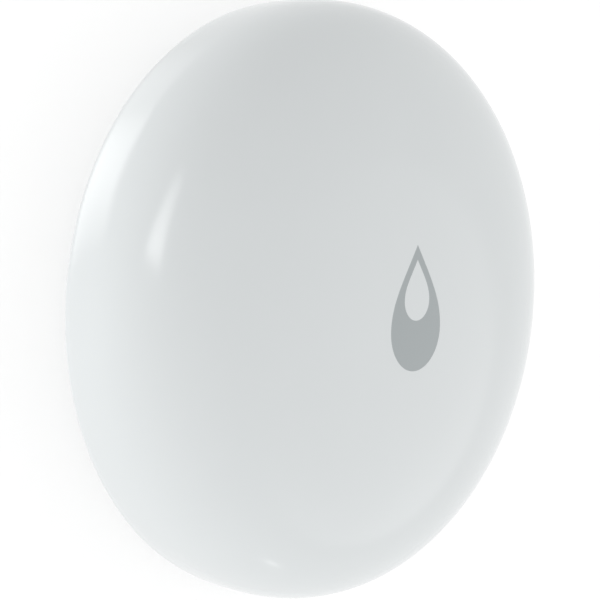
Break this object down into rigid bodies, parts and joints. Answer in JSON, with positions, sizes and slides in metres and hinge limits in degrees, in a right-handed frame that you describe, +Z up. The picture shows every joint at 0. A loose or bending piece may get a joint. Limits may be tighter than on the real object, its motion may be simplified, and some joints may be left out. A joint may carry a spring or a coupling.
{
  "type": "water leak sensor",
  "caption": "Round puck-shaped battery water leak sensor with a domed press-to-pair face, a drop-shaped light window, steel floor probes and a coin-turned battery cover.",
  "frame": {"origin": "on the floor below the middle of the round housing", "axes": "+Z up through the middle of the face, +Y the way the drop's tip points, +X through the right-hand probe"},
  "size_m": [0.05, 0.05, 0.015],
  "materials": {
    "shell_plastic": "smooth semi-gloss pale grey ABS",
    "window_plastic": "smooth grey translucent plastic",
    "base_plastic": "fine moulded texture",
    "cover_plastic": "fine moulded texture",
    "clear_plastic": "clear moulded light guide",
    "black_plastic": "black moulded",
    "led_resin": "clear resin over white base",
    "seal_rubber": "matt silicone",
    "board_laminate": "green solder mask",
    "contact_steel": "nickel plated spring steel",
    "screw_steel": "zinc plated steel",
    "probe_steel": "polished stainless steel",
    "insert_brass": "turned brass",
    "cell_steel": "nickel plated steel",
    "gasket_plastic": "polypropylene",
    "crystal_metal": "plated lid",
    "capacitor_ceramic": "fired ceramic with tinned ends",
    "resistor_ceramic": "black glaze with tinned ends"
  },
  "bodies": {
    "root": {"front_shell": "shell_plastic", "drop_window": "window_plastic", "switch_body": "black_plastic", "switch_cover": "contact_steel", "status_led": "led_resin", "base_plate": "base_plastic", "housing_seal": "seal_rubber", "circuit_board": "board_laminate", "board_screws": "screw_steel", "probe_screw_right": "probe_steel", "probe_screw_left": "probe_steel", "probe_seals": "seal_rubber", "probe_inserts": "insert_brass", "probe_contacts": "contact_steel", "battery_spring": "contact_steel", "positive_clip": "contact_steel", "radio_chip": "black_plastic", "crystal": "crystal_metal", "capacitors": "capacitor_ceramic", "resistors": "resistor_ceramic", "antenna": "contact_steel"},
    "button": {"light_guide": "clear_plastic", "switch_plunger": "black_plastic", "switch_dome": "contact_steel"},
    "cell": {"cell_can": "cell_steel", "cell_cap": "cell_steel", "cell_gasket": "gasket_plastic"},
    "cover": {"battery_cover": "cover_plastic", "cover_seal": "seal_rubber"}
  },
  "joints": [
    {"name": "face_press", "type": "slide", "parent": "root", "child": "button", "axis": [0, 0, -1], "range_m": [0, 0.00025], "stiffness_N_per_m": 1200, "springref_m": -0.001},
    {"name": "cover_drop", "type": "slide", "parent": "root", "child": "cell", "axis": [0, 0, -1], "range_m": [0, 0.0144]},
    {"name": "cover_turn", "type": "hinge", "parent": "cell", "child": "cover", "pos_m": [0, 0, 0.0005], "axis": [0, 0, -1], "range_deg": [0, 361]}
  ],
  "couplings": [
    {"joint": "cover_turn", "follows": "cover_drop", "rad_per_m": 436.33}
  ]
}
